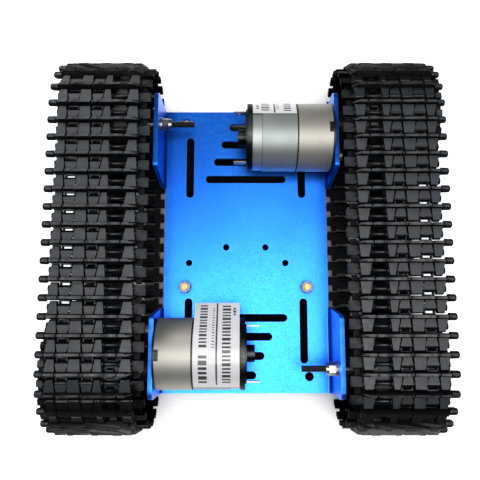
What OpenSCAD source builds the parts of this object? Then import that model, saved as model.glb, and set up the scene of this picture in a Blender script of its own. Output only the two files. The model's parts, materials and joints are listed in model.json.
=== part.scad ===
// Tracked tank chassis: a folded plate with two geared motors, two drive
// sprockets, two idler wheels and two tracks of pinned plastic links.
// Origin on the ground under the middle of the plate, +Y forwards, +X right.
// Each module draws the right side. The left side is the same turned half a turn about Z.

/* [Chassis plate] */
// Length of the plate and its ears, along Y
plate_l = 144.8; // [142:0.2:146]
// Thickness of the sheet
sheet_t = 2; // [1.5:0.1:2]
// Distance between the inner faces of facing ears
ear_gap = 84; // [84:0.1:84.4]
// Height of the ears above the plate's top
ear_h = 28; // [27.5:0.5:30]
// Width of the long adjustment slots
slot_w = 4; // [3:0.1:4.4]

/* [Tracks] */
// Distance between two hinge pins
pitch = 7.9; // [7.9:0.01:7.94]
// Links on each straight run
run_links = 15; // [15:1:15]
// Teeth round the drive sprocket, which is twice the links round each wheel
sprocket_teeth = 20; // [20:2:20]
// Width over the links' outer stubs
track_w = 45.3; // [45.3:0.1:46]
// Overall width over both tracks
overall_w = 177.2; // [177:0.1:178.4]
// Height of the grouser bars above the hinge pins
grouser_h = 4.55; // [4:0.05:5]
// Diameter of the hinge pins
pin_d = 1.2; // [1:0.1:1.2]

/* [Motors] */
// Diameter of the gearbox
gearbox_d = 33; // [32.8:0.1:33]
// Length of the gearbox
gearbox_l = 17.9; // [17.9:0.1:18.4]
// Length of the motor can
can_l = 21.25; // [20.8:0.05:21.4]
// Distance from the motor's axis to the output shaft
shaft_offset = 7; // [7:0.1:7]
// Diameter of the output shaft
shaft_d = 6; // [5:0.5:6]

/* [Idlers] */
// Diameter of the idler bolt
bolt_d = 3; // [3:0.1:3.2]
// Outer diameter of the idler bearings
bearing_d = 10; // [9.8:0.1:10.4]
// Width of the idler bearings
bearing_w = 4; // [3.8:0.1:4.4]

/* [Hidden] */
$fn = 64;
GAP = 0.05;
EPS = 0.01;

SHARED = ["chassis_plate", "standoffs", "standoff_nuts", "motor_screws", "gear_pins",
          "idler_bolts", "idler_spacers", "idler_washers", "idler_lock_nuts"];
SIDE_PARTS = ["gearbox_housing", "gearbox_front_plate", "gearbox_rear_plate", "motor_can",
              "motor_flux_ring", "motor_magnets", "motor_end_cap", "motor_bushes",
              "motor_terminals", "motor_brushes", "motor_label", "armature", "first_gear",
              "second_gear", "output_gear", "output_shaft", "sprocket_hub", "sprocket_screws",
              "sprocket", "idler_wheel", "bearing_outer_races", "bearing_inner_races",
              "bearing_balls", "track_links", "track_pins"];

// Colours
BLUE = [0.05, 0.35, 0.95];
BLACK = [0.08, 0.08, 0.09];
STEEL = [0.72, 0.7, 0.67];
GREY = [0.5, 0.51, 0.53];
BRASS = [0.8, 0.62, 0.25];
WHITE = [0.93, 0.93, 0.92];
COPPER = [0.75, 0.4, 0.2];

// Track and wheel places
pitch_r = pitch / (2 * sin(180 / sprocket_teeth));
chord_r = pitch_r * cos(180 / sprocket_teeth);
axle_z = pitch_r + grouser_h;
axle_y = run_links * pitch / 2;
link_turn = 360 / sprocket_teeth;
wrap_links = sprocket_teeth / 2;
entry_r = (pitch_r + chord_r) / 2;
entry_lean = atan((pitch_r - chord_r) / pitch);
outer_x = overall_w / 2;
knuckle_r = 1.6;
web_low = -1.2;
drum_r = 23.5;
rim_t = 2.2;

// Plate places
ear_x = ear_gap / 2;
plate_top = axle_z - 17;
plate_low = plate_top - sheet_t;
middle_half_w = 41.4;
ear_inner_y = 30.7;
ear_slant = 3.8;
bend_r = 1.5;
long_slot_x = 28.9;
long_slot_y = [25.9, 58.1];
cross_slots = [[-20.8, 20.8, 35.7], [-16.6, 13.2, 45], [-12.75, 9.2, 54.4], [-8.6, 5.1, 63.8]];
corner_hole_x = 31.3;
corner_hole_y = [-64.4, 66.3];
corner_hole_d = 4.5;
small_holes = [[10, 0], [-10, 0], [-28.9, -8], [20.1, -8]];
small_hole_d = 3.4;
standoff_at = [30.7, -20.3];
standoff_l = 6;
m3_r = 1.45;
m3_hole_r = 1.6;

// Motor places
motor_y = axle_y - shaft_offset;
gearbox_r = gearbox_d / 2;
gearbox_wall = 1.1;
core_r = gearbox_r - gearbox_wall - GAP;
can_front = ear_x - gearbox_l;
can_rear = can_front - can_l;
can_r = gearbox_r - 0.45;
can_wall = 0.9;
flux_ring_r = gearbox_r - 0.1;
flux_ring_start = can_rear + 4.8;
cap_t = 2.9;
step_t = 0.7;
front_plate_t = 3;
rear_plate_t = 1.5;
boss_r = 6;
boss_l = 6;
screw_circle_r = 12.5;
screw_angles = [150, 225, 315];
motor_shaft_r = 1;
bush_r = 2.5;
terminal_y = 12.7;

// Gear train: tooth counts, module, and centres measured from the motor's axis
gear_module = 0.4;
PINION = 12;
WHEEL = 30;
OUTPUT = 38;
first_at = [-6.044, 5.834];
second_at = [1.889, 8.595];
output_at = [shaft_offset, 0];
gear_pin_r = 1;

// Idler places
bolt_r = bolt_d / 2;
bearing_r = bearing_d / 2;
bearing_x = [54, 66];
ball_r = 0.78;
ball_circle_r = (bolt_d + bearing_d) / 4;
race_gap = 0.5;
spacer_r = 2.5;
bolt_end_x = 25.6;
bolt_head_x = bearing_x[1] + bearing_w;

// ---- Helpers ----

// Extrudes a (Y, Z) outline from x0 to x1
module along_x(x0, x1) {
    translate([x0, 0, 0])
        rotate([90, 0, 90])
            linear_extrude(x1 - x0)
                children();
}

// Extrudes an (X, Z) outline from y0 to y1
module along_y(y0, y1) {
    translate([0, y1, 0])
        rotate([90, 0, 0])
            linear_extrude(y1 - y0)
                children();
}

// Round bar along X
module rod(x0, x1, r, at = [0, 0]) {
    along_x(x0, x1) translate(at) circle(r);
}

// Round tube along X
module tube(x0, x1, r, bore, at = [0, 0]) {
    along_x(x0, x1)
        translate(at)
            difference() {
                circle(r);
                circle(bore);
            }
}

// Sector of a ring along X, from angle a0 to a1
module ring_sector(x0, x1, r, bore, a0, a1) {
    intersection() {
        tube(x0, x1, r, bore);
        along_x(x0 - 1, x1 + 1)
            polygon(concat([[0, 0]],
                           [for (i = [0:4]) 2 * r * [cos(a0 + (a1 - a0) * i / 4),
                                                     sin(a0 + (a1 - a0) * i / 4)]]));
    }
}

// Slot outline from one end to the other along X
module slot_x(x0, x1, y, w) {
    translate([x0 + w / 2, y - w / 2]) square([x1 - x0 - w, w]);
    for (x = [x0 + w / 2, x1 - w / 2])
        translate([x, y]) circle(w / 2);
}

// Hexagon with a given distance across its flats
module hexagon(flats) {
    circle(flats / sqrt(3), $fn = 6);
}

// Moves children to the motor's axis
module at_motor() {
    translate([0, motor_y, axle_z]) children();
}

// Moves children to the sprocket's axis
module at_sprocket() {
    translate([0, axle_y, axle_z]) children();
}

// Moves children to the idler's axis
module at_idler() {
    translate([0, -axle_y, axle_z]) children();
}

// ---- Gears ----

PRESSURE = 25;
TIP = 0.8;
ROOT = 1.1;
BACKLASH = 0.35;

// Involute angle, in degrees, of a circle r on the base circle rb
function involute(rb, r) = let (a = sqrt(max(r * r / (rb * rb) - 1, 0))) a * 180 / PI - atan(a);

// Half the angle that a tooth fills at radius r
function tooth_half(z, r) =
    let (p = gear_module * z / 2, rb = p * cos(PRESSURE))
    90 / z - BACKLASH / z * 4 + involute(rb, p) - involute(rb, max(r, rb));

// Outline of a gear with one tooth centred on angle 0
module gear_outline(z) {
    p = gear_module * z / 2;
    tip = p + TIP * gear_module;
    root = p - ROOT * gear_module;
    base = max(p * cos(PRESSURE), root);
    radii = concat([root], [for (i = [0:2]) base + (tip - base) * i / 2]);
    last = len(radii) - 1;
    polygon([for (k = [0:z - 1], i = [0:2 * last + 1])
        let (rising = i <= last,
             r = rising ? radii[i] : radii[2 * last + 1 - i],
             a = 360 / z * k + (rising ? -1 : 1) * tooth_half(z, r))
        r * [cos(a), sin(a)]]);
}

// Gear along X at a centre, turned to an angle
module gear(x0, x1, z, at, turn) {
    along_x(x0, x1) translate(at) rotate(turn) gear_outline(z);
}

function direction(from, to) = atan2(to[1] - from[1], to[0] - from[0]);

// Angle of a gear that meshes with another gear turned to angle a
function mesh(from, to, z_from, z_to, a) =
    let (d = direction(from, to)) d + 180 - z_from / z_to * (a - d) + 180 / z_to;

motor_turn = 0;
first_turn = mesh([0, 0], first_at, PINION, WHEEL, motor_turn);
second_turn = mesh(first_at, second_at, PINION, WHEEL, first_turn);
output_turn = mesh(second_at, output_at, PINION, OUTPUT, second_turn);

// ---- Chassis plate and what is screwed to it ----

// Section across the plate: a flat bottom with a bent-up flange at each side
module channel_section() {
    half = ear_x + sheet_t;
    outer_r = bend_r + sheet_t;
    difference() {
        union() {
            translate([-half, plate_low + outer_r])
                square([2 * half, ear_h + sheet_t - outer_r]);
            translate([-half + outer_r, plate_low])
                square([2 * (half - outer_r), outer_r + EPS]);
            for (s = [-1, 1])
                translate([s * (half - outer_r), plate_low + outer_r]) circle(outer_r);
        }
        translate([-ear_x, plate_top + bend_r]) square([2 * ear_x, ear_h]);
        translate([-ear_x + bend_r, plate_top])
            square([2 * (ear_x - bend_r), bend_r + EPS]);
        for (s = [-1, 1])
            translate([s * (ear_x - bend_r), plate_top + bend_r]) circle(bend_r);
    }
}

// Side outline of the plate: flat in the middle, with an ear standing up at each end
module side_outline() {
    top = plate_top + ear_h;
    end = plate_l / 2;
    outer_r = 4;
    inner_r = 2;
    lean = atan2(ear_slant, ear_h);
    inner = [for (i = [6:-1:0])
        [ear_inner_y + ear_slant + inner_r, top - inner_r]
        + inner_r * [cos(90 + i * (90 - lean) / 6), sin(90 + i * (90 - lean) / 6)]];
    corner = [for (i = [8:-1:0])
        [end - outer_r, top - outer_r] + outer_r * [cos(i * 11.25), sin(i * 11.25)]];
    half = concat([[ear_inner_y, plate_top]], inner, corner, [[end, plate_low]]);
    last = len(half) - 1;
    polygon(concat(half, [for (i = [last:-1:0]) [-half[i][0], half[i][1]]]));
}

// Plan of the sheet between and outside the ears
module plate_plan() {
    difference() {
        square([2 * (ear_x + sheet_t), plate_l], center = true);
        for (s = [-1, 1])
            translate([s * (middle_half_w + 5), 0])
                square([10, 2 * ear_inner_y], center = true);
    }
}

module plate_holes() {
    for (s = [-1, 1], t = [-1, 1])
        translate([s * long_slot_x, 0])
            rotate(t * 90)
                slot_x(long_slot_y[0], long_slot_y[1], 0, slot_w);
    for (t = [-1, 1], slot = cross_slots)
        slot_x(slot[0], slot[1], t * slot[2], slot_w);
    for (at = small_holes)
        translate(at) circle(small_hole_d / 2);
    for (s = [-1, 1], y = corner_hole_y)
        translate([s * corner_hole_x, y]) circle(corner_hole_d / 2);
    for (s = [-1, 1])
        translate([s * standoff_at[0], standoff_at[1]]) circle(m3_hole_r);
}

// Holes for the gearbox's boss, its screws and the idler bolt, in one side's ears
module ear_holes() {
    x0 = ear_x - 1;
    x1 = ear_x + sheet_t + 1;
    at_sprocket() rod(x0, x1, boss_r + 0.2);
    at_motor()
        for (a = screw_angles)
            rod(x0, x1, m3_hole_r, screw_circle_r * [cos(a), sin(a)]);
    at_idler() rod(x0, x1, bolt_r + 0.1);
}

module chassis_plate() {
    color(BLUE)
        difference() {
            intersection() {
                along_y(-plate_l / 2, plate_l / 2) channel_section();
                along_x(-outer_x, outer_x) side_outline();
                linear_extrude(2 * axle_z) plate_plan();
            }
            linear_extrude(plate_top + 1) plate_holes();
            ear_holes();
            rotate([0, 0, 180]) ear_holes();
        }
}

STANDOFF_FLATS = 5;
NUT_FLATS = 5.5;
NUT_H = 2.4;

module standoffs() {
    for (s = [-1, 1])
        color(BRASS)
            translate([s * standoff_at[0], standoff_at[1], plate_low - standoff_l]) {
                difference() {
                    linear_extrude(standoff_l) hexagon(STANDOFF_FLATS);
                    translate([0, 0, -1]) cylinder(r = 1.25, h = standoff_l);
                }
                translate([0, 0, standoff_l - EPS])
                    cylinder(r = m3_r, h = sheet_t + NUT_H + 0.9);
            }
}

module standoff_nuts() {
    for (s = [-1, 1])
        color(GREY)
            translate([s * standoff_at[0], standoff_at[1], plate_top])
                difference() {
                    intersection() {
                        linear_extrude(NUT_H) hexagon(NUT_FLATS);
                        cylinder(r1 = 4.2, r2 = 2.75, h = NUT_H);
                    }
                    translate([0, 0, -1]) cylinder(r = m3_r + GAP, h = NUT_H + 2);
                }
}

SCREW_HEAD_R = 2.75;
SCREW_HEAD_L = 1.8;

module motor_screws() {
    for (turn = [0, 180], a = screw_angles)
        color(STEEL)
            rotate([0, 0, turn])
                translate([0, motor_y, axle_z]) {
                    at = screw_circle_r * [cos(a), sin(a)];
                    rod(ear_x - front_plate_t + 0.5, ear_x + sheet_t, m3_r, at);
                    difference() {
                        rod(ear_x + sheet_t, ear_x + sheet_t + SCREW_HEAD_L, SCREW_HEAD_R, at);
                        translate([ear_x + sheet_t + 0.8, at[0], at[1]])
                            for (q = [0, 90])
                                rotate([q, 0, 0])
                                    translate([0, -1.6, -0.3]) cube([2, 3.2, 0.6]);
                    }
                }
}

// ---- Gearbox ----

NOTCH_W = 5;
NOTCH_L = 3.1;
GROOVE_W = 0.6;
GROOVE_DEPTH = 0.8;
housing_end = ear_x - 1.2;

// Drawn cup with a groove where it meets the motor
module gearbox_housing() {
    color(STEEL)
        at_motor()
            difference() {
                tube(can_front, housing_end, gearbox_r, gearbox_r - gearbox_wall);
                tube(can_front - 1, can_front + GROOVE_W, gearbox_r + 1,
                     gearbox_r - GROOVE_DEPTH);
                translate([ear_x - NOTCH_L, -NOTCH_W / 2, gearbox_r / 2])
                    cube([NOTCH_L, NOTCH_W, gearbox_r]);
            }
}

module gearbox_front_plate() {
    color(STEEL)
        at_motor()
            difference() {
                union() {
                    rod(ear_x - front_plate_t, ear_x, core_r);
                    rod(ear_x - EPS, ear_x + boss_l, boss_r, output_at);
                    translate([ear_x - front_plate_t, -1.15, core_r - 1]) cube([1.7, 2.3, 1.8]);
                }
                rod(ear_x - front_plate_t - 1, ear_x + boss_l + 1, shaft_d / 2 + GAP, output_at);
                for (at = [first_at, second_at])
                    rod(ear_x - front_plate_t - 1, ear_x - 1, gear_pin_r, at);
                for (a = screw_angles)
                    rod(ear_x - front_plate_t - 1, ear_x + 1, m3_r + GAP,
                        screw_circle_r * [cos(a), sin(a)]);
            }
}

module gearbox_rear_plate() {
    color(STEEL)
        at_motor()
            difference() {
                rod(can_front, can_front + rear_plate_t, core_r);
                rod(can_front - 1, can_front + rear_plate_t + 1, bush_r + 0.3);
                for (at = [first_at, second_at])
                    rod(can_front + 0.5, can_front + rear_plate_t + 1, gear_pin_r, at);
            }
}

module gear_pins() {
    for (turn = [0, 180], at = [first_at, second_at])
        color(STEEL)
            rotate([0, 0, turn])
                at_motor() rod(can_front + 0.5, ear_x - 1, gear_pin_r, at);
}

// Gear levels inside the gearbox, measured from its rear
level_1 = can_front + rear_plate_t + 1.2;
level_2 = level_1 + 3.8;
level_3 = level_2 + 4;
LEVEL_T = 2.8;

module first_gear() {
    color(BRASS)
        at_motor()
            difference() {
                union() {
                    gear(level_1, level_1 + LEVEL_T, WHEEL, first_at, first_turn);
                    gear(level_1 + LEVEL_T - EPS, level_2 + LEVEL_T + 0.3, PINION, first_at,
                         first_turn);
                }
                rod(level_1 - 1, ear_x, gear_pin_r + GAP, first_at);
            }
}

module second_gear() {
    color(BRASS)
        at_motor()
            difference() {
                union() {
                    gear(level_2, level_2 + LEVEL_T, WHEEL, second_at, second_turn);
                    gear(level_2 + LEVEL_T - EPS, level_3 + LEVEL_T + 0.9, PINION, second_at,
                         second_turn);
                }
                rod(level_2 - 1, ear_x, gear_pin_r + GAP, second_at);
            }
}

module output_gear() {
    color(STEEL)
        at_motor()
            difference() {
                gear(level_3, level_3 + LEVEL_T + 0.7, OUTPUT, output_at, output_turn);
                rod(level_3 - 1, ear_x, shaft_d / 2, output_at);
            }
}

SHAFT_END = 63;
FLAT = 0.5;

module output_shaft() {
    flat_x = ear_x + boss_l + 0.5;
    color(STEEL)
        at_sprocket()
            difference() {
                rod(level_3 - 1, SHAFT_END, shaft_d / 2);
                translate([flat_x, -shaft_d / 2, shaft_d / 2 - FLAT])
                    cube([SHAFT_END, shaft_d, 1]);
            }
}

// ---- Motor ----

BOSS_R = 4;
BOSS_L = 3.8;
VENT_X = 3;
STEP_R = 13.8;
cap_rear = can_rear - cap_t;

module motor_can() {
    color(GREY)
        at_motor()
            difference() {
                rod(can_rear, can_front, can_r);
                rod(can_rear - 1, can_front - 1.2, can_r - can_wall);
                rod(can_rear, can_front + 1, bush_r);
                for (s = [-1, 1])
                    translate([can_rear + VENT_X, s * 4, -can_r - 1])
                        cylinder(r = 0.9, h = 3);
            }
}

// Steel band pressed over the can
module motor_flux_ring() {
    color(GREY)
        at_motor() tube(flux_ring_start, can_front - 0.1, flux_ring_r, can_r + 0.02);
}

module motor_magnets() {
    color(BLACK)
        at_motor()
            for (a = [-65, 115])
                ring_sector(can_rear + 4, can_front - 3, can_r - can_wall - GAP, 12, a, a + 130);
}

module motor_end_cap() {
    color(BLACK)
        at_motor()
            difference() {
                union() {
                    rod(cap_rear + step_t, can_rear, gearbox_r);
                    rod(cap_rear, cap_rear + step_t + EPS, STEP_R);
                    tube(can_rear - EPS, can_rear + 1.6, can_r - can_wall - GAP, 13);
                    rod(cap_rear - BOSS_L, cap_rear + EPS, BOSS_R);
                }
                rod(cap_rear - BOSS_L + 0.6, can_rear + 1, bush_r);
                for (s = [-1, 1])
                    translate([cap_rear - 1, s * terminal_y - 0.35, -2.3]) cube([cap_t + 2, 0.7, 4.6]);
            }
}

module motor_bushes() {
    color(BRASS)
        at_motor() {
            tube(can_front - 2, can_front + 1, bush_r, motor_shaft_r + GAP);
            tube(cap_rear - BOSS_L + 0.6, cap_rear + 1, bush_r, motor_shaft_r + GAP);
        }
}

COMMUTATOR_R = 3.8;

// Blade through the end cap, with an arm that holds the brush
module motor_terminals() {
    color(BRASS)
        at_motor()
            for (s = [-1, 1]) {
                difference() {
                    translate([cap_rear - 6, s * terminal_y - 0.25, -2.2])
                        cube([cap_t + 6.9, 0.5, 4.4]);
                    translate([cap_rear - 3.6, s * terminal_y, 0])
                        rotate([90, 0, 0]) cylinder(r = 1, h = 4, center = true);
                }
                mirror([0, s < 0 ? 1 : 0, 0])
                    translate([can_rear + 0.2, 7.6, -1.5]) cube([0.7, terminal_y - 7.5, 3]);
                mirror([0, s < 0 ? 1 : 0, 0])
                    translate([can_rear + 0.2, 7, -1.5]) cube([4.4, 0.7, 3]);
            }
}

module motor_brushes() {
    color(GREY)
        at_motor()
            for (turn = [0, 180])
                rotate([turn, 0, 0])
                    difference() {
                        translate([can_rear + 1.8, 0, -1.2]) cube([2.4, 7, 2.4]);
                        rod(can_rear, can_rear + 6, COMMUTATOR_R + GAP);
                    }
}

module armature() {
    stack_r = 10.8;
    slots = 5;
    x0 = can_rear + 6.6;
    x1 = can_front - 5;
    color(GREY)
        at_motor() {
            rod(cap_rear - BOSS_L + 1.2, level_1 + LEVEL_T, motor_shaft_r);
            gear(level_1, level_1 + LEVEL_T, PINION, [0, 0], motor_turn);
        }
    color(COPPER)
        at_motor() {
            rod(can_rear + 1.4, x0 - 1, COMMUTATOR_R);
            rod(x0 - 1.2, x1 + 1.2, 7.6);
            difference() {
                rod(x0, x1, stack_r);
                for (i = [0:slots - 1])
                    rotate([i * 360 / slots, 0, 0])
                        translate([x0 - 1, -1, stack_r - 2.6]) cube([x1 - x0 + 2, 2, 4]);
            }
        }
}

LABEL_T = 0.2;
LABEL_MARGIN = 0.3;
FLAP_INSET = 0.03;
FLAP_ROOT = 0.5;

// Wrapped label from one angle to another, with or without a loose end
module motor_label(a0, a1, flap) {
    inner = flux_ring_r + 0.02;
    color(WHITE)
        at_motor() {
            ring_sector(can_rear + LABEL_MARGIN, can_front - LABEL_MARGIN, inner + LABEL_T, inner,
                        a0, a1);
            if (flap > 0)
                rotate([a1, 0, 0])
                    translate([can_rear + LABEL_MARGIN, inner + FLAP_INSET, -FLAP_ROOT])
                        cube([can_l - 2 * LABEL_MARGIN, LABEL_T - 2 * FLAP_INSET, FLAP_ROOT + flap]);
        }
}

// ---- Drive sprocket ----

INNER_RING = [56, 59];
OUTER_RING = [85.3, 87.9];
WEB = [63, 66];
RIM_START = 51;
HUB_R = 6;
FLANGE_R = 11;
wheel_screw_r = 8.2;

// Ring with teeth, turned so that a tooth is centred on the given angle
module toothed_ring(x0, x1, root, tip, base_w, tip_w, turn) {
    along_x(x0, x1)
        difference() {
            union() {
                circle(root);
                for (i = [0:sprocket_teeth - 1])
                    rotate(turn + i * link_turn)
                        polygon([[root - 1, -base_w / 2], [tip, -tip_w / 2], [tip, tip_w / 2],
                                 [root - 1, base_w / 2]]);
            }
            circle(drum_r - rim_t);
        }
}

module sprocket() {
    color(BLACK)
        at_sprocket()
            difference() {
                union() {
                    tube(RIM_START, OUTER_RING[1], drum_r, drum_r - rim_t);
                    toothed_ring(INNER_RING[0], INNER_RING[1], 24.1, 26.1, 5, 3, 0);
                    toothed_ring(OUTER_RING[0], OUTER_RING[1], 24.5, 26.6, 4.4, 2.6, link_turn / 2);
                    tube(WEB[0], WEB[1], drum_r - rim_t + EPS, 4);
                    tube(WEB[1] - EPS, WEB[1] + 3, FLANGE_R, 4);
                }
                for (i = [0:5])
                    rotate([i * 60, 0, 0])
                        rod(WEB[0] - 1, WEB[1] + 1, 4, [15.6, 0]);
                for (i = [0:3])
                    rotate([45 + i * 90, 0, 0])
                        rod(WEB[0] - 1, WEB[1] + 4, m3_r + GAP, [wheel_screw_r, 0]);
            }
}

module sprocket_hub() {
    x0 = ear_x + boss_l + 1.2;
    color(STEEL)
        at_sprocket()
            difference() {
                union() {
                    rod(x0, WEB[0] - 2.5 + EPS, HUB_R);
                    rod(WEB[0] - 2.5, WEB[0], FLANGE_R);
                }
                along_x(x0 - 1, WEB[0] + 1)
                    difference() {
                        circle(shaft_d / 2 + 0.02);
                        translate([-shaft_d, shaft_d / 2 - FLAT + 0.02]) square(2 * shaft_d);
                    }
                translate([x0 + 5, 0, 0]) cylinder(r = m3_r + GAP, h = HUB_R + 1);
                for (i = [0:3])
                    rotate([45 + i * 90, 0, 0])
                        rod(x0, WEB[0] + 1, m3_r + GAP, [wheel_screw_r, 0]);
            }
}

module sprocket_screws() {
    x0 = WEB[0] - 2.5;
    color(STEEL)
        at_sprocket() {
            for (i = [0:3])
                rotate([45 + i * 90, 0, 0]) {
                    difference() {
                        rod(x0 - 2, x0, 2, [wheel_screw_r, 0]);
                        translate([x0 - 3, wheel_screw_r - 1.4, -0.25]) cube([1.6, 2.8, 0.5]);
                    }
                    rod(x0 - EPS, WEB[1] + 2.5, m3_r, [wheel_screw_r, 0]);
                }
            difference() {
                translate([ear_x + boss_l + 6.2, 0, shaft_d / 2 - FLAT + 0.05])
                    cylinder(r = m3_r, h = 3.2);
                translate([ear_x + boss_l + 6.2, 0, HUB_R - 0.8])
                    linear_extrude(2) hexagon(1.5);
            }
        }
}

// ---- Idler ----

IDLER = [49, 86];
IDLER_WEB = [61, 64];

module idler_wheel() {
    hub_r = 8;
    color(BLACK)
        at_idler()
            difference() {
                union() {
                    tube(IDLER[0], IDLER[1], drum_r, drum_r - rim_t);
                    rod(bearing_x[0] - 1, bolt_head_x + 1, hub_r);
                    rod(IDLER_WEB[0], IDLER_WEB[1], drum_r - rim_t + EPS);
                }
                rod(bearing_x[0] - 2, bearing_x[0] + bearing_w, bearing_r);
                rod(bearing_x[0], bearing_x[1] + 1, bearing_r - 1);
                rod(bearing_x[1], bolt_head_x + 2, bearing_r);
                for (i = [0:5])
                    rotate([i * 60, 0, 0])
                        rod(IDLER_WEB[0] - 1, IDLER_WEB[1] + 1, 4, [14.7, 0]);
            }
}

// Ring groove that the balls run in
module ball_track(x) {
    translate([x, 0, 0])
        rotate([0, 90, 0])
            rotate_extrude()
                translate([ball_circle_r, 0]) circle(ball_r + GAP);
}

module bearing_outer_races() {
    color(STEEL)
        at_idler()
            for (x = bearing_x)
                difference() {
                    tube(x, x + bearing_w, bearing_r, ball_circle_r + race_gap);
                    ball_track(x + bearing_w / 2);
                }
}

module bearing_inner_races() {
    color(STEEL)
        at_idler()
            for (x = bearing_x)
                difference() {
                    tube(x, x + bearing_w, ball_circle_r - race_gap, bolt_r + 0.02);
                    ball_track(x + bearing_w / 2);
                }
}

module bearing_balls() {
    balls = 7;
    color(GREY)
        at_idler()
            for (x = bearing_x, i = [0:balls - 1])
                rotate([i * 360 / balls, 0, 0])
                    translate([x + bearing_w / 2, ball_circle_r, 0]) sphere(ball_r);
}

LOCK_NUT_L = 4.4;
LOCK_NUT_HEX_L = 3;
WASHER_R = 3.5;
WASHER_T = 0.8;

module idler_bolts() {
    for (turn = [0, 180])
        color(BLACK)
            rotate([0, 0, turn])
                at_idler() {
                    rod(bolt_end_x, bolt_head_x + EPS, bolt_r);
                    difference() {
                        rod(bolt_head_x, bolt_head_x + 3, SCREW_HEAD_R);
                        along_x(bolt_head_x + 1.4, bolt_head_x + 4) hexagon(2.5);
                    }
                }
}

module idler_spacers() {
    for (turn = [0, 180])
        color(STEEL)
            rotate([0, 0, turn])
                at_idler() {
                    tube(ear_x + sheet_t, bearing_x[0], spacer_r, bolt_r + 0.02);
                    tube(bearing_x[0] + bearing_w, bearing_x[1], spacer_r, bolt_r + 0.02);
                }
}

module idler_washers() {
    for (turn = [0, 180])
        color(STEEL)
            rotate([0, 0, turn])
                at_idler() tube(ear_x - WASHER_T, ear_x, WASHER_R, bolt_r + 0.02);
}

module idler_lock_nuts() {
    x1 = ear_x - WASHER_T;
    for (turn = [0, 180])
        color(GREY)
            rotate([0, 0, turn])
                at_idler()
                    difference() {
                        union() {
                            along_x(x1 - LOCK_NUT_HEX_L, x1) hexagon(NUT_FLATS);
                            rod(x1 - LOCK_NUT_L, x1 - LOCK_NUT_HEX_L + EPS, NUT_FLATS / 2 - 0.1);
                        }
                        rod(x1 - LOCK_NUT_L - 1, x1 + 1, bolt_r + 0.02);
                    }
}

// ---- Track ----

// Each finger's outer and inner edge at its root and at its tip, from the stubs' ends
FINGERS = [[4, 8.7, 5.8, 7.7], [13.4, 19.4, 14.2, 19], [23.9, 28.4, 25.1, 27.8],
           [34.9, 40.6, 36.1, 40]];
// The same for the short aprons between the first three fingers
APRONS = [[9.2, 12.9, 8.5, 13.5], [19.9, 23.4, 19.6, 24.3]];
// Edges of the webs and knuckles under the fingers
WEBS = [[4, 8.4], [13.6, 19.25], [24.25, 28.4], [34.9, 40.6]];
// Edges of the knuckles under the aprons
KNUCKLES = [[8.55, 13.45], [19.4, 24.1]];
SPROCKET_SLOT = [28.6, 34.4];
STUB_END = 3.5;
BAR_END = 41;
BAR_T = 2;
STUB_T = 3.3;
STUB_Z = [0.4, 3.4];
FINGER_TIP = 6.6;
FINGER_TOP = 2.6;
APRON_TIP = 4.3;
APRON_TOP = 2.2;
ARM_T = 0.6;
SLEEVE_R = 0.95;
FLARE_R = 1.5;
FLARE_L = 1;
// Start of the inner tab across the track, and its length along it
TAB = [39.6, 5.3];
// The lower plate beside the grouser's inner end
SKIRT_L = 2;
SKIRT_TOP = -0.1;

// A distance from the stubs' ends as an X place
function across(w) = outer_x - w;

// Box over a span across the track, a span along it (fingers point to -Y) and a height span
module block(span, run, height) {
    translate([across(span[1]), -run[1], height[0]])
        cube([span[1] - span[0], run[1] - run[0], height[1] - height[0]]);
}

// Grouser bar: chamfered ends, and cleared for the sprocket's teeth
module grouser() {
    along_y(-BAR_T / 2, BAR_T / 2)
        polygon([for (p = [
            [BAR_END, web_low], [BAR_END, 2.4], [BAR_END - 3.2, grouser_h],
            [STUB_END + 0.9, grouser_h], [STUB_END, STUB_Z[1]], [1, STUB_Z[1]], [1, STUB_Z[0]],
            [STUB_END + 0.3, STUB_Z[0]], [STUB_END + 0.3, web_low],
            [SPROCKET_SLOT[0], web_low], [SPROCKET_SLOT[0], 1.6],
            [SPROCKET_SLOT[1], 1.6], [SPROCKET_SLOT[1], web_low]
        ]) [across(p[0]), p[1]]]);
}

// Finger: a tapered plate over a web that ends in a round knuckle
module finger(f, web) {
    root = BAR_T / 2 - EPS;
    translate([0, 0, 0.5])
        linear_extrude(FINGER_TOP - 0.5)
            polygon([[across(f[0]), -root], [across(f[1]), -root], [across(f[3]), -FINGER_TIP],
                     [across(f[2]), -FINGER_TIP]]);
    along_x(across(web[1]), across(web[0]))
        union() {
            translate([-pitch / 2, 0]) circle(knuckle_r);
            translate([-pitch / 2, web_low]) square([pitch / 2 - root, 0.6 - web_low]);
        }
}

// Apron: a short tapered plate over the next link's knuckle
module apron(a) {
    root = BAR_T / 2 - EPS;
    translate([0, 0, knuckle_r + 0.15])
        linear_extrude(APRON_TOP - knuckle_r - 0.15)
            polygon([[across(a[0]), -root], [across(a[1]), -root], [across(a[3]), -APRON_TIP],
                     [across(a[2]), -APRON_TIP]]);
    block([a[0], a[1]], [root, 2.1], [web_low, APRON_TOP]);
}

// Knuckle round the other pin, held by two arms
module rear_knuckle(k) {
    root = BAR_T / 2 - EPS;
    along_x(across(k[1]), across(k[0])) translate([pitch / 2, 0]) circle(knuckle_r);
    for (w = [k[0], k[1] - ARM_T])
        block([w, w + ARM_T], [-pitch / 2, -root], [web_low, 0.9]);
}

// Sleeve that crosses the sprocket slot round the pin, flared where it meets the webs
module slot_sleeve() {
    span = [WEBS[2][1] - EPS, WEBS[3][0] + EPS];
    translate([across(span[1]), -pitch / 2, 0])
        rotate([0, 90, 0]) {
            cylinder(r = SLEEVE_R, h = span[1] - span[0]);
            cylinder(r1 = FLARE_R, r2 = SLEEVE_R, h = FLARE_L);
            translate([0, 0, span[1] - span[0] - FLARE_L])
                cylinder(r1 = SLEEVE_R, r2 = FLARE_R, h = FLARE_L);
        }
}

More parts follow.
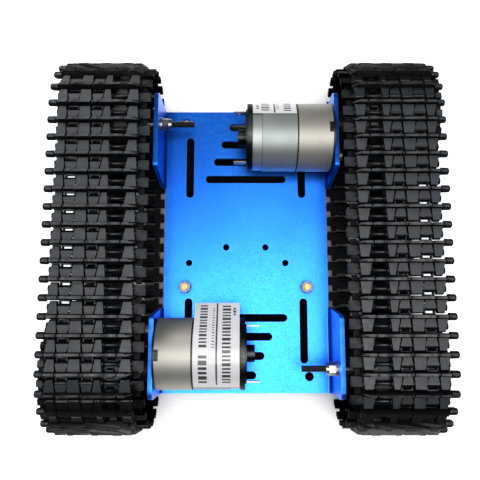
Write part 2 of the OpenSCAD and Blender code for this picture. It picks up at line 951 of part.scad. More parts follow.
module track_link() {
    difference() {
        union() {
            grouser();
            block([0, STUB_END], [-STUB_T / 2, STUB_T / 2], STUB_Z);
            for (i = [0:3])
                finger(FINGERS[i], WEBS[i]);
            for (a = APRONS)
                apron(a);
            for (k = KNUCKLES)
                rear_knuckle(k);
            block([TAB[0], track_w], [BAR_T / 2 - EPS, TAB[1]], [web_low, 0.9]);
            block([BAR_END - EPS, track_w], [-SKIRT_L, BAR_T / 2], [web_low, SKIRT_TOP]);
            slot_sleeve();
        }
        for (s = [-1, 1])
            rod(across(track_w + 1), across(STUB_END), pin_d / 2 + GAP, [s * pitch / 2, 0]);
    }
}

// Repeats children, drawn about a link's middle, once for each link round the loop
module round_track() {
    for (turn = [0, 180])
        translate([0, 0, axle_z])
            rotate([turn, 0, 0]) {
                for (i = [1:run_links - 1])
                    translate([0, axle_y - i * pitch, pitch_r]) children();
                for (j = [1:wrap_links - 1])
                    translate([0, -axle_y, 0])
                        rotate([j * link_turn, 0, 0]) translate([0, 0, chord_r]) children();
                for (s = [-1, 1])
                    translate([0, s * axle_y, entry_r])
                        rotate([-s * entry_lean, 0, 0]) children();
            }
}

module track_links() {
    color(BLACK) round_track() track_link();
}

module track_pins() {
    color(STEEL)
        round_track()
            rod(across(FINGERS[3][3] + 2), across(FINGERS[0][2]), pin_d / 2, [-pitch / 2, 0]);
}

// ---- Assembly ----

chassis_plate();
standoffs();
standoff_nuts();
motor_screws();
gear_pins();
idler_bolts();
idler_spacers();
idler_washers();
idler_lock_nuts();
rotate([0, 0, 180]) motor_label(30, 130, 16.6);  // left_motor_label
motor_label(-110, 65, 0);  // right_motor_label

for (side = ["left", "right"]) rotate([0, 0, side == "left" ? 180 : 0]) {
    gearbox_housing();
    gearbox_front_plate();
    gearbox_rear_plate();
    motor_can();
    motor_flux_ring();
    motor_magnets();
    motor_end_cap();
    motor_bushes();
    motor_terminals();
    motor_brushes();
    armature();
    first_gear();
    second_gear();
    output_gear();
    output_shaft();
    sprocket_hub();
    sprocket_screws();
    sprocket();
    idler_wheel();
    bearing_outer_races();
    bearing_inner_races();
    bearing_balls();
    track_links();
    track_pins();
}
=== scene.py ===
import json
from math import atan2, cos, pi, radians, sin

import bmesh
import bpy
from mathutils import Matrix, Vector


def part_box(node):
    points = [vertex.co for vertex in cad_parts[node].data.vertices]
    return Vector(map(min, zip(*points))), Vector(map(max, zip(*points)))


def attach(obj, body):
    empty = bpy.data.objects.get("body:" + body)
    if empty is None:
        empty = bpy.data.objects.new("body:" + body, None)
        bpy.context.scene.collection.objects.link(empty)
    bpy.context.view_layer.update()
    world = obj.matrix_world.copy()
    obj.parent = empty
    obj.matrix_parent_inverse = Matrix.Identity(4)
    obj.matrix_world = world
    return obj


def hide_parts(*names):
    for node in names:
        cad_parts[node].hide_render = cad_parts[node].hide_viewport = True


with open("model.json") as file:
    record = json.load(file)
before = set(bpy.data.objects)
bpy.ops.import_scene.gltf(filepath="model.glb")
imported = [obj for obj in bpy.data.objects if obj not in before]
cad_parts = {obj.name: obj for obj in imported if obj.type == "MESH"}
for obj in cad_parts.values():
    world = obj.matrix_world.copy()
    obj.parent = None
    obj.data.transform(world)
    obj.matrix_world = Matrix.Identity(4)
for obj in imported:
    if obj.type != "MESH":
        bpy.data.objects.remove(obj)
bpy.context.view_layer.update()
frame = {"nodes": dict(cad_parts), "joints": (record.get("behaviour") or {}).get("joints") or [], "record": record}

MM = 0.001

# ---- Places, from the frame ----

JOINTS = {j["name"]: j for j in frame["joints"]}
AXLE_Y = JOINTS["right_drive_spin"]["pos_m"][1] / MM
AXLE_Z = JOINTS["right_drive_spin"]["pos_m"][2] / MM
MOTOR_Y = JOINTS["right_armature_spin"]["pos_m"][1] / MM
RUN_LINKS = 15  # links on each straight run
TEETH = 20
LINK_TURN = 2 * pi / TEETH
AXLE_ABOVE_PLATE = 17
TURNS = (("right", 0), ("left", pi))  # the left side is the right one turned about Z
PITCH = 2 * AXLE_Y / RUN_LINKS
PITCH_R = PITCH / (2 * sin(pi / TEETH))
CHORD_R = PITCH_R * cos(pi / TEETH)
ENTRY_R = (PITCH_R + CHORD_R) / 2
ENTRY_LEAN = atan2(PITCH_R - CHORD_R, PITCH)
OUTER_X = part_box("right_track_links")[1].x / MM
INNER_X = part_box("right_track_links")[0].x / MM
PLATE_TOP = AXLE_Z - AXLE_ABOVE_PLATE

# ---- Materials ----


class Nodes:
    """Short ways to build one material's node tree"""

    def __init__(self, name):
        self.material = bpy.data.materials.new(name)
        self.material.use_nodes = True
        self.tree = self.material.node_tree
        self.bsdf = self.tree.nodes["Principled BSDF"]
        self.coords = self.tree.nodes.new("ShaderNodeTexCoord").outputs["Object"]

    def add(self, kind, **inputs):
        node = self.tree.nodes.new(kind)
        for key, value in inputs.items():
            self.set(node, key, value)
        return node

    def feed(self, socket, value):
        """Links a node's output to the socket, or sets a plain value"""
        if isinstance(value, bpy.types.NodeSocket):
            self.tree.links.new(value, socket)
        else:
            socket.default_value = value

    def set(self, node, key, value):
        self.feed(node.inputs[key.replace("_", " ")], value)

    def scaled(self, x, y, z):
        """Object coordinates stretched along each axis"""
        node = self.add("ShaderNodeMapping", Vector=self.coords)
        node.inputs["Scale"].default_value = (x, y, z)
        return node.outputs["Vector"]

    def noise(self, scale, detail=3.0, vector=None, roughness=0.5):
        node = self.add("ShaderNodeTexNoise", Vector=vector or self.coords, Scale=scale,
                        Detail=detail, Roughness=roughness)
        return node.outputs["Fac"]

    def mix(self, factor, a, b):
        """Colour between a and b"""
        node = self.tree.nodes.new("ShaderNodeMix")
        node.data_type = "RGBA"
        # sockets 6, 7 and 2 are the colour ones
        self.feed(node.inputs[0], factor)
        self.feed(node.inputs[6], a)
        self.feed(node.inputs[7], b)
        return node.outputs[2]

    def span(self, value, low, high, out_low, out_high):
        """Maps low..high of a value to out_low..out_high"""
        node = self.add("ShaderNodeMapRange", Value=value)
        for key, number in (("From Min", low), ("From Max", high), ("To Min", out_low),
                            ("To Max", out_high)):
            node.inputs[key].default_value = number
        return node.outputs["Result"]

    def math(self, operation, a, b=0.0):
        node = self.tree.nodes.new("ShaderNodeMath")
        node.operation = operation
        self.feed(node.inputs[0], a)
        self.feed(node.inputs[1], b)
        return node.outputs[0]

    def times(self, a, b):
        return self.math("MULTIPLY", a, b)

    def bump(self, height, strength, distance):
        node = self.add("ShaderNodeBump", Height=height, Strength=strength, Distance=distance)
        self.tree.links.new(node.outputs["Normal"], self.bsdf.inputs["Normal"])

    def edges(self, radius):
        """About 0 on flat faces and up to 1 along convex edges"""
        bevel = self.add("ShaderNodeBevel", Radius=radius)
        bevel.samples = 4
        flat = self.tree.nodes.new("ShaderNodeNewGeometry").outputs["Normal"]
        dot = self.tree.nodes.new("ShaderNodeVectorMath")
        dot.operation = "DOT_PRODUCT"
        self.tree.links.new(bevel.outputs["Normal"], dot.inputs[0])
        self.tree.links.new(flat, dot.inputs[1])
        return self.span(dot.outputs["Value"], 0.98, 0.75, 0.0, 1.0)

    def sky(self, distance):
        """Share of the sky that nothing within the distance hides"""
        node = self.tree.nodes.new("ShaderNodeAmbientOcclusion")
        node.samples = 12
        node.inputs["Distance"].default_value = distance
        return node.outputs["AO"]

    def openness(self, distance, low=0.35, high=0.85):
        """1 in the open, falling to 0 in gaps that are small beside the distance"""
        return self.span(self.sky(distance), low, high, 0, 1)

    def upward(self, low, high, least):
        """1 on faces that look up, falling to the least on steep ones"""
        place = self.add("ShaderNodeSeparateXYZ")
        normal = self.tree.nodes.new("ShaderNodeNewGeometry").outputs["Normal"]
        self.tree.links.new(normal, place.inputs["Vector"])
        return self.span(place.outputs["Z"], low, high, least, 1)

    def surface(self, **inputs):
        for key, value in inputs.items():
            self.set(self.bsdf, key, value)
        return self.material


def grey(value, warmth=0.0):
    return (value * (1 + warmth), value, value * (1 - warmth), 1)


def tone(colour, factor):
    return tuple(factor * c for c in colour) + (1,)


def anodised_blue():
    m = Nodes("anodised_blue")
    grain = m.noise(2600, 2.0)
    cloud = m.noise(30, 4.0)
    base = m.mix(m.span(cloud, 0.35, 0.7, 0, 1), (0.012, 0.19, 0.98, 1), (0.018, 0.24, 1.0, 1))
    base = m.mix(m.span(m.noise(1500, 4.0), 0.35, 0.65, 0, 0.5), base, (0.002, 0.1, 0.7, 1))
    # painted highlight: convex edges of the blue are mixed to a lighter blue
    lighter_edges = m.edges(0.0006)
    colour = m.mix(m.times(lighter_edges, 0.35), base, (0.16, 0.42, 1.0, 1))
    # painted shade: the blue turns near black in crevices and close beside tall parts
    colour = m.mix(m.openness(0.008, 0.3, 0.9), (0.0, 0.004, 0.08, 1), colour)
    m.bump(grain, 0.35, 0.00006)
    return m.surface(Base_Color=colour, Metallic=0.9,
                     Roughness=m.span(m.noise(900, 3.0), 0.3, 0.7, 0.3, 0.38),
                     Specular_IOR_Level=0.5, Coat_Weight=0.15, Coat_Roughness=0.3)


PLASTIC_TINT = -0.18  # slightly blue


def moulded_plastic(name, value, gloss, scratch, shine=0.5):
    """Dark plastic with painted shade: darker still in crevices and on steep faces"""
    m = Nodes(name)
    cloud = m.noise(160, 4.0)
    base = m.mix(m.span(cloud, 0.3, 0.7, 0, 1), grey(value * 0.8, PLASTIC_TINT),
                 grey(value * 1.2, PLASTIC_TINT))
    lighter_edges = m.times(m.edges(0.0004), scratch)
    # painted shade: steep faces are darkened and shine less, and crevices are darkened too
    steep = m.upward(0.88, 0.995, 0.1)
    shade = m.times(m.openness(0.0025), m.openness(0.06, 0.25, 0.85))
    shade = m.times(shade, steep)
    colour = m.mix(shade, grey(value * 0.1, PLASTIC_TINT),
                   m.mix(lighter_edges, base, grey(value * 3.2, PLASTIC_TINT)))
    m.bump(m.noise(3200, 4.0), 0.25, 0.00005)
    return m.surface(Base_Color=colour, Roughness=m.span(m.noise(700, 4.0), 0.3, 0.7, gloss - 0.08,
                                                         gloss + 0.1),
                     Specular_IOR_Level=m.times(steep, shine))


def brushed(name, colour, roughness):
    """Metal with fine lines that run round the X axis"""
    m = Nodes(name)
    lines = m.noise(1.0, 3.0, m.scaled(9000, 60, 60))
    cloud = m.noise(90, 4.0)
    shade = m.math("ADD", m.times(lines, 0.5), m.times(cloud, 0.5))
    base = m.mix(m.span(shade, 0.3, 0.7, 0, 1), tone(colour, 0.86), tone(colour, 1.1))
    # painted shade: the metal turns near black in narrow crevices and grooves
    base = m.mix(m.openness(0.002, 0.45, 0.9), tone(colour, 0.05), base)
    m.bump(lines, 0.12, 0.00004)
    return m.surface(Base_Color=base, Metallic=0.95,
                     Roughness=m.span(lines, 0.3, 0.7, roughness - 0.05, roughness + 0.08))


def machined(name, colour, roughness, metallic=1.0):
    m = Nodes(name)
    cloud = m.noise(500, 5.0)
    base = m.mix(m.span(cloud, 0.3, 0.7, 0, 1), tone(colour, 0.75), tone(colour, 1))
    edge = m.mix(m.times(m.edges(0.0003), 0.4), base,
                 tuple(min(1, 1.4 * c + 0.05) for c in colour) + (1,))
    m.bump(m.noise(2200, 3.0), 0.15, 0.00004)
    return m.surface(Base_Color=edge, Metallic=metallic,
                     Roughness=m.span(m.noise(1200, 3.0), 0.3, 0.7, roughness - 0.06,
                                      roughness + 0.08))


def threaded(name):
    """Black steel with a fine screw thread along the X axis"""
    m = Nodes(name)
    wave = m.add("ShaderNodeTexWave", Vector=m.coords, Scale=628.0, Distortion=0.0)
    wave.bands_direction = "X"
    ridge = wave.outputs["Fac"]
    colour = m.mix(m.times(ridge, m.noise(900, 3.0)), grey(0.004), grey(0.05))
    m.bump(ridge, 0.8, 0.0002)
    return m.surface(Base_Color=colour, Metallic=0.5, Roughness=0.35)


def film(name, colour, roughness):
    """Printed plastic film with a faint sheen"""
    m = Nodes(name)
    cloud = m.noise(120, 4.0)
    base = m.mix(m.span(cloud, 0.3, 0.7, 0, 1), tone(colour, 0.93), tone(colour, 1))
    m.bump(m.noise(400, 2.0), 0.08, 0.0001)
    return m.surface(Base_Color=base, Roughness=m.span(m.noise(600, 2.0), 0.3, 0.7,
                                                       roughness - 0.05, roughness + 0.08),
                     Coat_Weight=0.3, Coat_Roughness=0.15)


def floor_paper():
    """Paper that glows white, with painted shadow: near black under the plate and where something stands close
    above it
    """
    m = Nodes("floor_paper")
    paper = m.mix(m.span(m.noise(6, 3.0), 0.3, 0.7, 0, 1), grey(0.86), grey(0.9))
    place = m.add("ShaderNodeSeparateXYZ", Vector=m.coords)
    # painted shadow mask: the plate's footprint, and places close under other things
    beside = m.span(m.math("ABSOLUTE", place.outputs["X"]), 0.0405, 0.042, 0, 0.6)
    beyond = m.span(m.math("ABSOLUTE", place.outputs["Y"]), 0.068, 0.076, 0, 0.65)
    aside = m.math("MAXIMUM", beside, beyond)
    out_of_painted_shadow = m.span(m.math("ADD", m.sky(0.05), aside), 0.55, 0.85, 0, 1)
    base = m.mix(out_of_painted_shadow, grey(0.002), paper)
    # painted soft shadow: the glow fades close to things above the paper
    glow = m.times(m.times(m.openness(0.05, 0.5, 0.95), out_of_painted_shadow), 0.7)
    return m.surface(Base_Color=base, Roughness=0.9, Specular_IOR_Level=0.1,
                     Emission_Color=(1, 1, 1, 1), Emission_Strength=glow)


MATERIALS = {
    "blue_anodised": anodised_blue(),
    "track_plastic": moulded_plastic("track_plastic", 0.03, 0.5, 0.2),
    "wheel_plastic": moulded_plastic("wheel_plastic", 0.022, 0.5, 0.3),
    "black_plastic": moulded_plastic("black_plastic", 0.012, 0.4, 0.25),
    "gearbox_steel": brushed("gearbox_steel", (0.37, 0.36, 0.325), 0.54),
    "can_steel": brushed("can_steel", (0.33, 0.36, 0.34), 0.5),
    "flux_ring_steel": brushed("flux_ring_steel", (0.3, 0.33, 0.31), 0.54),
    "pin_steel": machined("pin_steel", (0.12, 0.12, 0.12), 0.4),
    "terminal_metal": machined("terminal_metal", (0.34, 0.28, 0.22), 0.4),
    "bright_steel": machined("bright_steel", (0.34, 0.33, 0.31), 0.3),
    "gear_steel": machined("gear_steel", (0.5, 0.5, 0.5), 0.3),
    "bearing_steel": machined("bearing_steel", (0.8, 0.8, 0.82), 0.12),
    "armature_steel": machined("armature_steel", (0.5, 0.33, 0.24), 0.4),
    "black_steel": machined("black_steel", (0.016, 0.016, 0.018), 0.35, 0.6),
    "brass": machined("brass", (0.5, 0.36, 0.13), 0.42),
    "magnet": machined("magnet", (0.06, 0.06, 0.07), 0.6, 0.3),
    "carbon": machined("carbon", (0.05, 0.05, 0.05), 0.55, 0.2),
    "label": film("label", (0.6, 0.61, 0.63), 0.4),
}
BOLT_THREAD = threaded("bolt_thread")
NUT_STEEL = machined("nut_steel", (0.13, 0.13, 0.145), 0.35)
OWN_MATERIALS = {"idler_bolts": BOLT_THREAD, "standoff_nuts": NUT_STEEL}
# painted shade: the gearbox front plates get black steel so that the notch in each ear reads dark
OWN_MATERIALS.update({f"{side}_gearbox_front_plate": MATERIALS["black_steel"]
                      for side, _ in TURNS})
# painted shade: darker copies of the track plastic, for the links' undersides and skirts and for their inner tabs
UNDERSIDE_PAINTED_SHADE = moulded_plastic("track_painted_shade_under", 0.004, 0.6, 0.1, 0.1)
TAB_PAINTED_SHADE = moulded_plastic("track_painted_shade_tab", 0.014, 0.6, 0.15, 0.3)
LABEL_INK = film("label_ink", (0.03, 0.03, 0.035), 0.4)

# ---- Mesh helpers ----


def mesh_object(name, bm, material, smooth_angle=35):
    mesh = bpy.data.meshes.new(name)
    bm.to_mesh(mesh)
    bm.free()
    obj = bpy.data.objects.new(name, mesh)
    bpy.context.scene.collection.objects.link(obj)
    mesh.materials.append(material)
    for face in mesh.polygons:
        face.use_smooth = True
    mesh.set_sharp_from_angle(angle=radians(smooth_angle))
    return obj


def loft(bm, rings):
    """Closes a skin over rings of equally many points, with a face at each end"""
    bm.faces.new(rings[0])
    bm.faces.new(rings[-1])
    for one, other in zip(rings, rings[1:]):
        for i in range(len(one)):
            j = (i + 1) % len(one)
            bm.faces.new((one[i], one[j], other[j], other[i]))


def prism(points, axis, low, high):
    """A closed prism, with its outline in mm as (y, z) for axis x, (x, z) for y, (x, y) for z"""
    order = {"x": lambda a, b, c: (c, a, b), "y": lambda a, b, c: (a, c, b),
             "z": lambda a, b, c: (a, b, c)}[axis]
    bm = bmesh.new()
    rings = [[bm.verts.new(Vector(order(a, b, c)) * MM) for a, b in points]
             for c in (low, high)]
    loft(bm, rings)
    bmesh.ops.recalc_face_normals(bm, faces=bm.faces)
    return bm


def box_prism(x, y, z):
    return prism([(x[0], y[0]), (x[1], y[0]), (x[1], y[1]), (x[0], y[1])], "z", *z)


def arc(centre, radius, start, end, steps):
    return [(centre[0] + radius * cos(radians(start + (end - start) * i / steps)),
             centre[1] + radius * sin(radians(start + (end - start) * i / steps)))
            for i in range(steps + 1)]


def combine(name, solids, cuts, material, bevel, segments=2):
    """Unites closed solids, takes the cuts away, rounds the edges and returns the mesh"""
    shown = [mesh_object(f"{name}_{i}", bm, material) for i, bm in enumerate(solids)]
    taken = [mesh_object(f"{name}_cut_{i}", bm, material) for i, bm in enumerate(cuts)]
    base = shown[0]
    for operation, others in (("UNION", shown[1:]), ("DIFFERENCE", taken)):
        for other in others:
            modifier = base.modifiers.new(operation, "BOOLEAN")
            modifier.operation = operation
            modifier.solver = "MANIFOLD"
            modifier.object = other
    rounding = base.modifiers.new("rounding", "BEVEL")
    rounding.width = bevel * MM
    rounding.segments = segments
    rounding.limit_method = "ANGLE"
    rounding.angle_limit = radians(40)
    rounding.harden_normals = True
    rounding.use_clamp_overlap = True
    bpy.context.view_layer.update()
    evaluated = base.evaluated_get(bpy.context.evaluated_depsgraph_get())
    mesh = bpy.data.meshes.new_from_object(evaluated)
    for obj in shown + taken:
        bpy.data.objects.remove(obj)
    return mesh


# ---- Track link ----

# Widths are measured in mm inwards from the outer ends of the stubs. A finger and an apron each
# have two for the root and two for the tip.
FINGERS = [(3.6, 8.7, 5.0, 8.3), (13.4, 19.4, 14.2, 19.0), (23.9, 28.4, 25.1, 27.8),
           (34.9, 40.6, 36.1, 40.0)]
WEBS = [(3.6, 8.4), (13.6, 19.25), (24.25, 28.4), (34.9, 40.6)]
APRONS = [(9.2, 12.9, 8.5, 14.0), (19.9, 23.4, 19.6, 24.3)]
KNUCKLES = [(8.55, 13.45), (19.4, 24.1)]
SLOT = (28.6, 34.4)
STUB_END = 3.5
STUB_ROOT = 1.0
BAR_END = 41.0
BAR_HALF = 1.0
BAR_FACE = 0.99  # where plates and webs start, just inside the bar
GROUSER_H = AXLE_Z - PITCH_R
KNUCKLE_R = 1.6
PIN_R = 0.65
STUB_Z = 1.9
STUB_R = 1.5
WEB_LOW = -1.2
WEB_TOP = 0.9
APRON_TOP = 2.2
TAB_ROOT = 39.6
# material slots of the painted-shade copies of the track plastic
UNDERSIDE_SHADE_SLOT, TAB_SHADE_SLOT = 1, 2


def across(w):
    """A distance from the stubs' ends, as an X place in mm"""
    return OUTER_X - w


def grouser():
    """Bar with small nicks and raised pads along its top"""
    low_top = GROUSER_H - 0.2
    nick = 0.9
    outline = [(BAR_END, WEB_LOW), (BAR_END, 2.4), (BAR_END - 3.2, low_top)]
    for start, end, height in ((34.9, 34.2, -nick), (33.3, 29.5, 0.2), (22.8, 20.3, 0.2),
                               (19.9, 19.2, -nick), (12.0, 9.6, 0.2), (9.4, 8.7, -nick)):
        outline += [(start + 0.15, low_top), (start - 0.15, low_top + height),
                    (end + 0.15, low_top + height), (end - 0.15, low_top)]
    outline += [(STUB_END + 0.9, low_top), (STUB_END, 3.4), (STUB_ROOT, 3.4), (STUB_ROOT, 0.4),
                (STUB_END + 0.3, 0.4), (STUB_END + 0.3, WEB_LOW), (SLOT[0], WEB_LOW),
                (SLOT[0], 1.6), (SLOT[1], 1.6), (SLOT[1], WEB_LOW)]
    bm = prism([(across(w), z) for w, z in outline], "y", -BAR_HALF, BAR_HALF)
    # the bar is a little narrower at its top, as a moulding is
    for vertex in bm.verts:
        if vertex.co.z > 2.3 * MM:
            vertex.co.y *= 0.55
    return bm


def finger_plate(f):
    """Tapered plate with leaning sides and a rounded end"""
    bm = bmesh.new()
    lean = 0.3
    rows = [(-BAR_FACE, 2.6, 0.0), (-6.1, 2.6, 0.91), (-6.45, 2.35, 0.97), (-6.6, 1.8, 1.0)]
    rings = []
    for y, high, t in rows:
        a = f[0] + (f[2] - f[0]) * t
        b = f[1] + (f[3] - f[1]) * t
        rings.append([bm.verts.new(Vector((across(w), y, z)) * MM)
                      for w, z in ((a, 0.5), (b, 0.5), (b - lean, high), (a + lean, high))])
    loft(bm, rings)
    bmesh.ops.recalc_face_normals(bm, faces=bm.faces)
    return bm


def finger_web(web):
    centre = (-PITCH / 2, 0)
    outline = [(-BAR_FACE, WEB_LOW), (-BAR_FACE, 0.6)] + arc(centre, KNUCKLE_R, 22, 311, 18)
    return prism(outline, "x", across(web[1]), across(web[0]))


def slot_sleeve():
    """Sleeve round the pin across the sprocket's slot, flared at both ends"""
    bm = bmesh.new()
    left, right = across(WEBS[3][0] + 0.01), across(WEBS[2][1] - 0.01)
    rings = []
    for x, radius in ((left, 1.5), (left + 1, 0.95), (right - 1, 0.95), (right, 1.5)):
        rings.append([bm.verts.new(Vector((x, y, z)) * MM)
                      for y, z in arc((-PITCH / 2, 0), radius, 0, 337.5, 15)])
    loft(bm, rings)
    bmesh.ops.recalc_face_normals(bm, faces=bm.faces)
    return bm


def apron_plate(a):
    outline = [(across(a[0]), -BAR_FACE), (across(a[1]), -BAR_FACE), (across(a[3]), -4.3),
               (across(a[2]), -4.3)]
    return prism(outline, "z", KNUCKLE_R + 0.15, APRON_TOP)


def stub():
    """Outer end of the grouser, a rounded peg"""
    outline = [(1.1 * y, z) for y, z in arc((0, STUB_Z), STUB_R, 0, 345, 23)]
    bm = prism(outline, "x", across(STUB_END), across(0))
    for vertex in bm.verts:
        if vertex.co.x > (across(0) - 0.1) * MM:
            vertex.co.y *= 0.96
            vertex.co.z = STUB_Z * MM + 0.96 * (vertex.co.z - STUB_Z * MM)
    tip = [f for f in bm.faces if all(v.co.x > (across(0) - 0.1) * MM for v in f.verts)]
    bmesh.ops.translate(bm, verts=list(tip[0].verts), vec=Vector((-0.5, 0, 0)) * MM)
    cap = bmesh.ops.extrude_face_region(bm, geom=tip)
    rim = [v for v in cap["geom"] if isinstance(v, bmesh.types.BMVert)]
    bmesh.ops.translate(bm, verts=rim, vec=Vector((0.5, 0, 0)) * MM)
    bmesh.ops.scale(bm, verts=rim, vec=(1, 0.72, 0.72),
                    space=Matrix.Translation(Vector((0, 0, -STUB_Z)) * MM))
    bmesh.ops.delete(bm, geom=tip, context="FACES_ONLY")
    bmesh.ops.recalc_face_normals(bm, faces=bm.faces)
    return bm


def link_mesh():
    solids = [grouser(), slot_sleeve(), stub()]
    for f, web in zip(FINGERS, WEBS):
        solids += [finger_plate(f), finger_web(web)]
    for a in APRONS:
        solids += [apron_plate(a),
                   box_prism((across(a[1]), across(a[0])), (-2.1, -BAR_FACE),
                             (WEB_LOW, APRON_TOP))]
    for k in KNUCKLES:
        solids.append(prism(arc((PITCH / 2, 0), KNUCKLE_R, 0, 345, 23), "x", across(k[1]),
                            across(k[0])))
        for w in (k[0], k[1] - 0.6):
            solids.append(box_prism((across(w + 0.6), across(w)), (BAR_FACE, PITCH / 2),
                                    (WEB_LOW, WEB_TOP)))
        solids.append(box_prism((across(k[1]), across(k[0])), (BAR_FACE, 1.5),
                                (WEB_LOW, WEB_TOP)))
    solids.append(box_prism((INNER_X, across(TAB_ROOT)), (-5.3, -BAR_FACE), (WEB_LOW, WEB_TOP)))
    solids.append(box_prism((across(43.5), across(BAR_END - 0.01)), (-1, 2), (WEB_LOW, -0.1)))
    holes = [prism(arc((s * PITCH / 2, 0), PIN_R, 0, 345, 11), "x", INNER_X - 1,
                   across(STUB_END)) for s in (-1, 1)]
    link = combine("link", solids, holes, MATERIALS["track_plastic"], 0.14)
    # painted shade: undersides and the skirt by the inner end take the darkest copy, the inner tabs a darker one
    for face in link.polygons:
        x, z = face.center.x / MM, face.center.z / MM
        if z < WEB_LOW + 0.1 or (x < across(BAR_END) + 0.3 and z < 0.1):
            face.material_index = UNDERSIDE_SHADE_SLOT
        elif x < across(TAB_ROOT - 0.1) and z < 1:
            face.material_index = TAB_SHADE_SLOT
    return link


def loop_places():
    """Where each link stands round the right-hand track"""
    places = []
    for half in (0, pi):
        axle = Matrix.Translation((0, 0, AXLE_Z * MM)) @ Matrix.Rotation(half, 4, "X")

        def at(y, z, lean=0.0):
            return (axle @ Matrix.Translation((0, y * MM, z * MM))
                    @ Matrix.Rotation(lean, 4, "X"))

        places += [at(AXLE_Y - i * PITCH, PITCH_R) for i in range(1, RUN_LINKS)]
        for j in range(1, TEETH // 2):
            lean = j * LINK_TURN
            places.append(at(-AXLE_Y - CHORD_R * sin(lean), CHORD_R * cos(lean), lean))
        places += [at(s * AXLE_Y, ENTRY_R, -s * ENTRY_LEAN) for s in (-1, 1)]
    return places


def joined(name, mesh, places, material):
    bm = bmesh.new()
    for place in places:
        copy = mesh.copy()
        copy.transform(place)
        bm.from_mesh(copy)
        bpy.data.meshes.remove(copy)
    return mesh_object(name, bm, material, 28)


def tracks():
    link = link_mesh()
    places = loop_places()
    for side, turn in TURNS:
        turned = [Matrix.Rotation(turn, 4, "Z") @ p for p in places]
        track = joined(f"{side}_track", link, turned, MATERIALS["track_plastic"])
        track.data.materials.append(UNDERSIDE_PAINTED_SHADE)
        track.data.materials.append(TAB_PAINTED_SHADE)
        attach(track, "chassis")
        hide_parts(f"{side}_track_links")


# ---- Printing on the labels ----

LABEL_R = 16.62
FLAP_R = 16.59  # the loose end lies straight, a hair lower
PRINT_LIFT = 0.02
# Columns of the print, as X spans in mm on a right-hand label
HEAD_COLUMN = (17.6, 21.4)
NAME_COLUMN = (17.8, 21.2)
SMALL_COLUMN = (14.4, 15.5)
RULE = (13.0, 13.75)
RATING_COLUMN = (7.1, 10.9)
CORNER_COLUMN = (4.8, 6.0)
# Where each label's outline ends round the can, in degrees, and the length of its loose end
LABEL_ENDS = {"right": (65, 0), "left": (130, 16.6)}


def label_point(x, u, lift, end_angle, flap):
    """Place on a right-hand label, a distance u back from its loose end"""
    s = flap - u
    turn = radians(end_angle) + min(0, s) / LABEL_R
    r = (FLAP_R if s > 0 else LABEL_R) + lift
    along = max(0, s)
    return Vector((x, MOTOR_Y + r * cos(turn) - along * sin(turn),
                   AXLE_Z + r * sin(turn) + along * cos(turn))) * MM


def print_bar(bm, column, u0, u1, end_angle, flap):
    x0, x1 = column
    steps = max(1, round((u1 - u0) / 0.8))
    rings = []
    for i in range(steps + 1):
        u = u0 + (u1 - u0) * i / steps
        rings.append([bm.verts.new(label_point(x, u, lift, end_angle, flap))
                      for x, lift in ((x0, 0), (x1, 0), (x1, PRINT_LIFT), (x0, PRINT_LIFT))])
    loft(bm, rings)


def striped(bm, column, u0, u1, bar, gap, *label):
    """Plain stripes across a column, with every third one wider"""
    u, count = u0, 0
    while u + 1.6 * bar < u1:
        thick = bar * (1.6 if count % 3 == 1 else 1)
        print_bar(bm, column, u, u + thick, *label)
        u += thick + gap
        count += 1


def label_print():
    """Plain lines and stripes stand in for the print"""
    for side, turn in TURNS:
        label = LABEL_ENDS[side]
        bm = bmesh.new()
        print_bar(bm, RULE, 0.3, 43.4, *label)
        striped(bm, HEAD_COLUMN, 28.2, 43, 1.3, 0.9, *label)
        striped(bm, NAME_COLUMN, 1.6, 25.6, 0.75, 0.8, *label)
        striped(bm, SMALL_COLUMN, 3.3, 25.6, 0.35, 1.0, *label)
        striped(bm, RATING_COLUMN, 1.8, 42.6, 0.85, 0.85, *label)
        striped(bm, CORNER_COLUMN, 3.2, 9.1, 0.9, 0.6, *label)
        bm.transform(Matrix.Rotation(turn, 4, "Z"))
        bmesh.ops.recalc_face_normals(bm, faces=bm.faces)
        marks = mesh_object(f"{side}_label_print", bm, LABEL_INK)
        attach(marks, "chassis")


# ---- Carried-over CAD nodes ----


def dress_cad_nodes():
    """Gives each CAD node its material and slightly rounded edges"""
    slots = {s["node"]: s["material_slot"] for s in frame["record"]["subparts"]}
    for name, obj in frame["nodes"].items():
        obj.data.materials.clear()
        obj.data.materials.append(OWN_MATERIALS.get(name, MATERIALS[slots[name]]))
        bevel = obj.modifiers.new("rounding", "BEVEL")
        bevel.width = 0.12 * MM
        bevel.segments = 2
        bevel.limit_method = "ANGLE"
        bevel.angle_limit = radians(50)


# ---- Stage ----


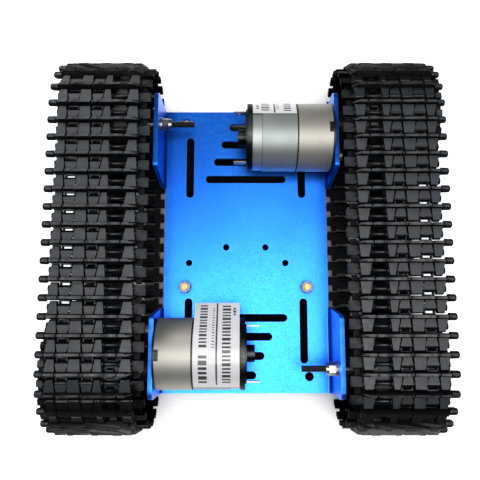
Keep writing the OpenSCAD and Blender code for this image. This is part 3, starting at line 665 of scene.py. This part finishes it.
FLOOR_HALF = 3
FLOOR_DROP = 0.0002
CAMERA_ABOVE_PLATE = 278.2
CAMERA_TILT = 8.63


def floor():
    bm = bmesh.new()
    bmesh.ops.create_grid(bm, x_segments=1, y_segments=1, size=FLOOR_HALF)
    obj = mesh_object("floor", bm, floor_paper())
    obj.location.z = -FLOOR_DROP


def area_light(name, place, target, size, power):
    light = bpy.data.lights.new(name, "AREA")
    light.shape = "RECTANGLE"
    light.size, light.size_y = size
    light.energy = power
    obj = bpy.data.objects.new(name, light)
    obj.location = place
    obj.rotation_euler = (Vector(target) - Vector(place)).to_track_quat("-Z", "Y").to_euler()
    bpy.context.scene.collection.objects.link(obj)


def lights():
    world = bpy.data.worlds.new("world")
    world.use_nodes = True
    background = world.node_tree.nodes["Background"]
    background.inputs["Color"].default_value = (1, 1, 1, 1)
    # dim where it lights the object, white where it is seen
    seen = world.node_tree.nodes.new("ShaderNodeLightPath").outputs["Is Camera Ray"]
    strength = world.node_tree.nodes.new("ShaderNodeMapRange")
    strength.inputs["To Min"].default_value = 0.07
    strength.inputs["To Max"].default_value = 1.0
    world.node_tree.links.new(seen, strength.inputs["Value"])
    world.node_tree.links.new(strength.outputs["Result"], background.inputs["Strength"])
    bpy.context.scene.world = world
    area_light("front_left_box", (-0.36, 0.5, 0.4), (0, 0, 0.02), (0.3, 0.3), 3)
    area_light("top_box", (0.02, -0.11, 0.56), (0, -0.04, 0.02), (0.34, 0.4), 3.2)


def camera():
    """Nearly straight above, a little behind the middle and tipped forwards"""
    data = bpy.data.cameras.new("camera")
    data.sensor_width = 36
    data.lens = 41.2
    obj = bpy.data.objects.new("camera", data)
    obj.location = Vector((-2.96, -38.4, PLATE_TOP + CAMERA_ABOVE_PLATE)) * MM
    obj.rotation_euler = (radians(CAMERA_TILT), 0, 0)
    bpy.context.scene.collection.objects.link(obj)
    bpy.context.scene.camera = obj


tracks()
label_print()
dress_cad_nodes()
floor()
lights()
camera()
bpy.context.scene.view_settings.view_transform = "Standard"
